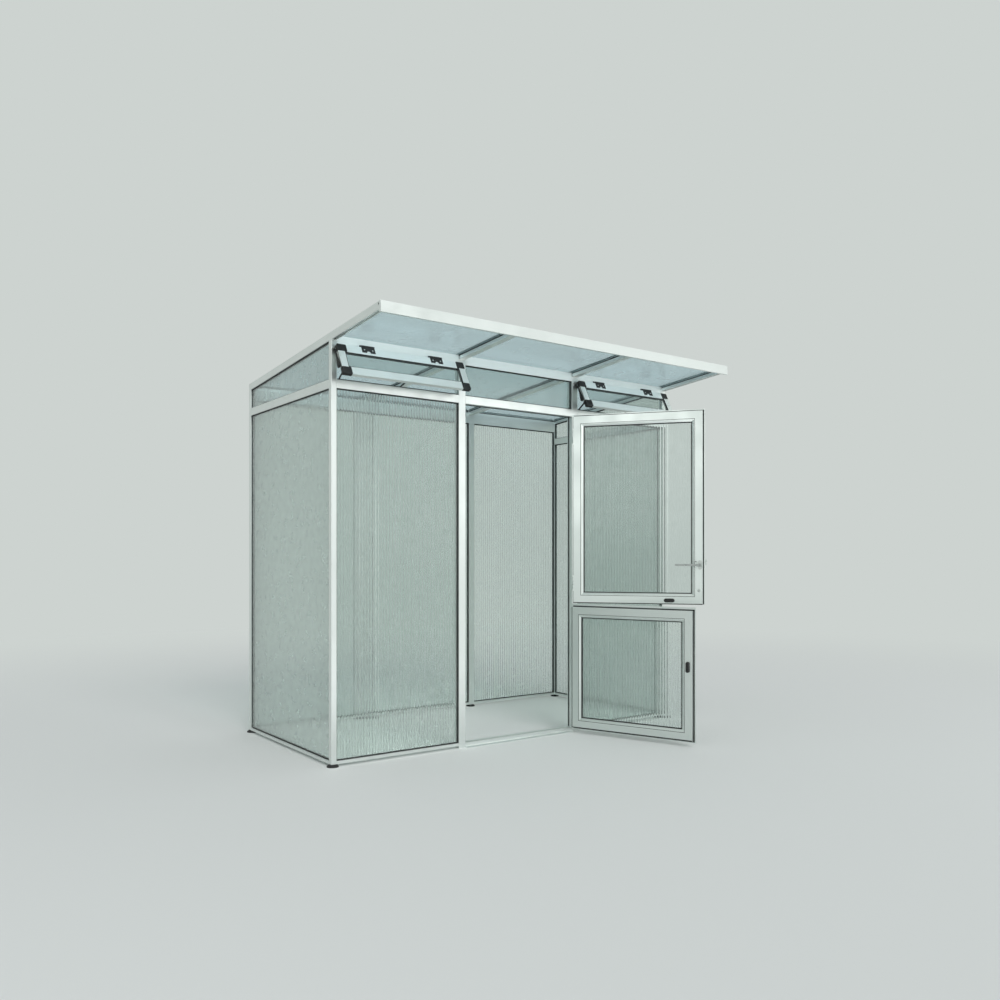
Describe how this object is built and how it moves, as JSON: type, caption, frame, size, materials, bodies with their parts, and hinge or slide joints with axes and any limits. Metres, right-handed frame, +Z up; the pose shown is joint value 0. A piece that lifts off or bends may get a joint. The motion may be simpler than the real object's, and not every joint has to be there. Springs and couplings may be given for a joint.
{
  "type": "lean-roof greenhouse",
  "caption": "Small free-standing greenhouse: aluminium frame, translucent twin-wall sheets, sloping roof over the front, top-hung vents and a two-leaf stable door standing open.",
  "frame": {"origin": "on the ground in the middle of the doorway, in the plane of the front wall, under the door sill", "axes": "+X along the front wall to the right seen from outside, +Y to the back wall, +Z up"},
  "size_m": [2.487, 1.9523, 2.2824],
  "materials": {
    "frame_aluminium": "satin",
    "leaf_aluminium": "satin",
    "wall_sheet": "clear twin-wall sheet with upright ribs",
    "roof_sheet": "clear twin-wall sheet with ribs along the slope",
    "black_plastic": "matt",
    "handle_metal": "satin"
  },
  "bodies": {
    "frame": {"front_corner_posts": "frame_aluminium", "back_corner_posts": "frame_aluminium", "jamb_posts": "frame_aluminium", "back_mullions": "frame_aluminium", "base_front": "frame_aluminium", "base_back": "frame_aluminium", "base_sides": "frame_aluminium", "door_sill": "frame_aluminium", "front_rail": "frame_aluminium", "side_rails": "frame_aluminium", "front_header": "frame_aluminium", "eave_beam": "frame_aluminium", "edge_rafters": "frame_aluminium", "middle_rafters": "frame_aluminium", "fascia": "frame_aluminium", "roof_back_bars": "frame_aluminium", "roof_panes": "roof_sheet", "front_panes": "wall_sheet", "transom_pane": "wall_sheet", "back_panes": "wall_sheet", "side_panes": "wall_sheet", "side_lights": "wall_sheet", "feet": "black_plastic", "left_vent_frame": "frame_aluminium", "right_vent_frame": "frame_aluminium", "vent_corners": "black_plastic", "vent_panes": "wall_sheet", "vent_hinges": "black_plastic", "vent_stays": "black_plastic", "jamb_hinges": "frame_aluminium"},
    "lower_leaf": {"lower_stiles": "leaf_aluminium", "lower_rails": "leaf_aluminium", "lower_pane": "wall_sheet", "lower_hinges": "leaf_aluminium", "lower_latch": "black_plastic"},
    "upper_leaf": {"upper_stiles": "leaf_aluminium", "upper_rails": "leaf_aluminium", "upper_pane": "wall_sheet", "upper_hinges": "leaf_aluminium", "upper_latch": "black_plastic", "handle_roses": "handle_metal"},
    "handle": {"lever_handle": "handle_metal"}
  },
  "joints": [
    {"name": "lower_leaf_hinge", "type": "hinge", "parent": "frame", "child": "lower_leaf", "pos_m": [0.3955, -0.017, 0.4], "axis": [0, 0, 1], "range_deg": [-110.2, 59.8]},
    {"name": "upper_leaf_hinge", "type": "hinge", "parent": "frame", "child": "upper_leaf", "pos_m": [0.3955, -0.017, 1.37], "axis": [0, 0, 1], "range_deg": [-126.6, 43.4]},
    {"name": "handle_turn", "type": "hinge", "parent": "upper_leaf", "child": "handle", "pos_m": [0.85459, -0.63517, 1.036], "axis": [-0.8028, -0.5962, 0], "range_deg": [0, 35], "stiffness_Nm_per_rad": 1, "springref_deg": -17.19}
  ]
}
